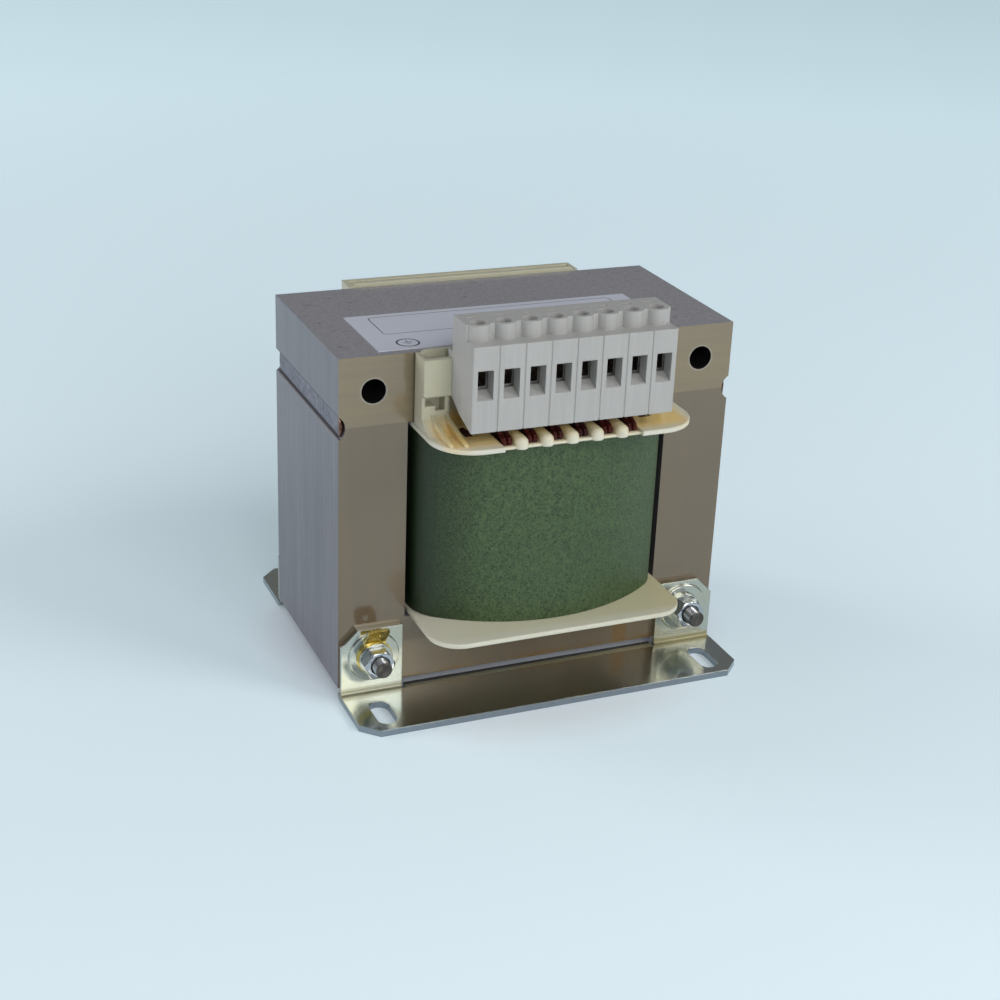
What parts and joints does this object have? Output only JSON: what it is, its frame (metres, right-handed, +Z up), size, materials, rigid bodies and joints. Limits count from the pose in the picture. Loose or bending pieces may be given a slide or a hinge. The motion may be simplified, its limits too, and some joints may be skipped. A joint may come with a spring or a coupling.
{
  "type": "autotransformer",
  "caption": "Open-frame autotransformer: a welded sheet-steel core round a wrapped coil on a moulded former, with a row of screw terminals and slotted sheet-metal feet.",
  "frame": {"origin": "on the ground plane, under the middle of the core; the middle of the bottom of the bounding box", "axes": "+X across the core to the right seen from the terminal side, +Y from the terminal side to the rear, +Z up"},
  "size_m": [0.12, 0.1112, 0.116],
  "materials": {
    "lamination_steel": "stacked sheet, clear varnish, satin",
    "weld_bead": "raw weld seam",
    "nylon": "cream moulding with varnish stains",
    "enamelled_copper": "dark red enamel",
    "insulation_paper": "impregnated",
    "pressboard": "green, mottled, satin",
    "terminal_plastic": "white, satin",
    "zinc_steel": "bright zinc plating",
    "contact_metal": "tinned",
    "fastener_steel": "bright zinc plating",
    "tab_brass": "plain brass",
    "label_film": "blank, satin"
  },
  "bodies": {
    "root": {"e_lamination_stack": "lamination_steel", "i_lamination_stack": "lamination_steel", "weld_left": "weld_bead", "weld_right": "weld_bead", "bobbin": "nylon", "common_winding": "enamelled_copper", "layer_insulation": "insulation_paper", "series_winding": "enamelled_copper", "outer_wrap": "pressboard", "tap_lead_1": "enamelled_copper", "tap_lead_2": "enamelled_copper", "tap_lead_3": "enamelled_copper", "tap_lead_4": "enamelled_copper", "tap_lead_5": "enamelled_copper", "tap_lead_6": "enamelled_copper", "tap_lead_7": "enamelled_copper", "tap_lead_8": "enamelled_copper", "terminal_housing_1": "terminal_plastic", "terminal_housing_2": "terminal_plastic", "terminal_housing_3": "terminal_plastic", "terminal_housing_4": "terminal_plastic", "terminal_housing_5": "terminal_plastic", "terminal_housing_6": "terminal_plastic", "terminal_housing_7": "terminal_plastic", "terminal_housing_8": "terminal_plastic", "clamp_cages": "zinc_steel", "contact_bars": "contact_metal", "clamp_screws": "zinc_steel", "front_foot": "zinc_steel", "rear_foot": "zinc_steel", "through_bolts": "fastener_steel", "hex_nuts": "fastener_steel", "front_washers": "fastener_steel", "rear_washers": "fastener_steel", "earth_tab": "tab_brass", "top_label": "label_film"}
  },
  "joints": []
}
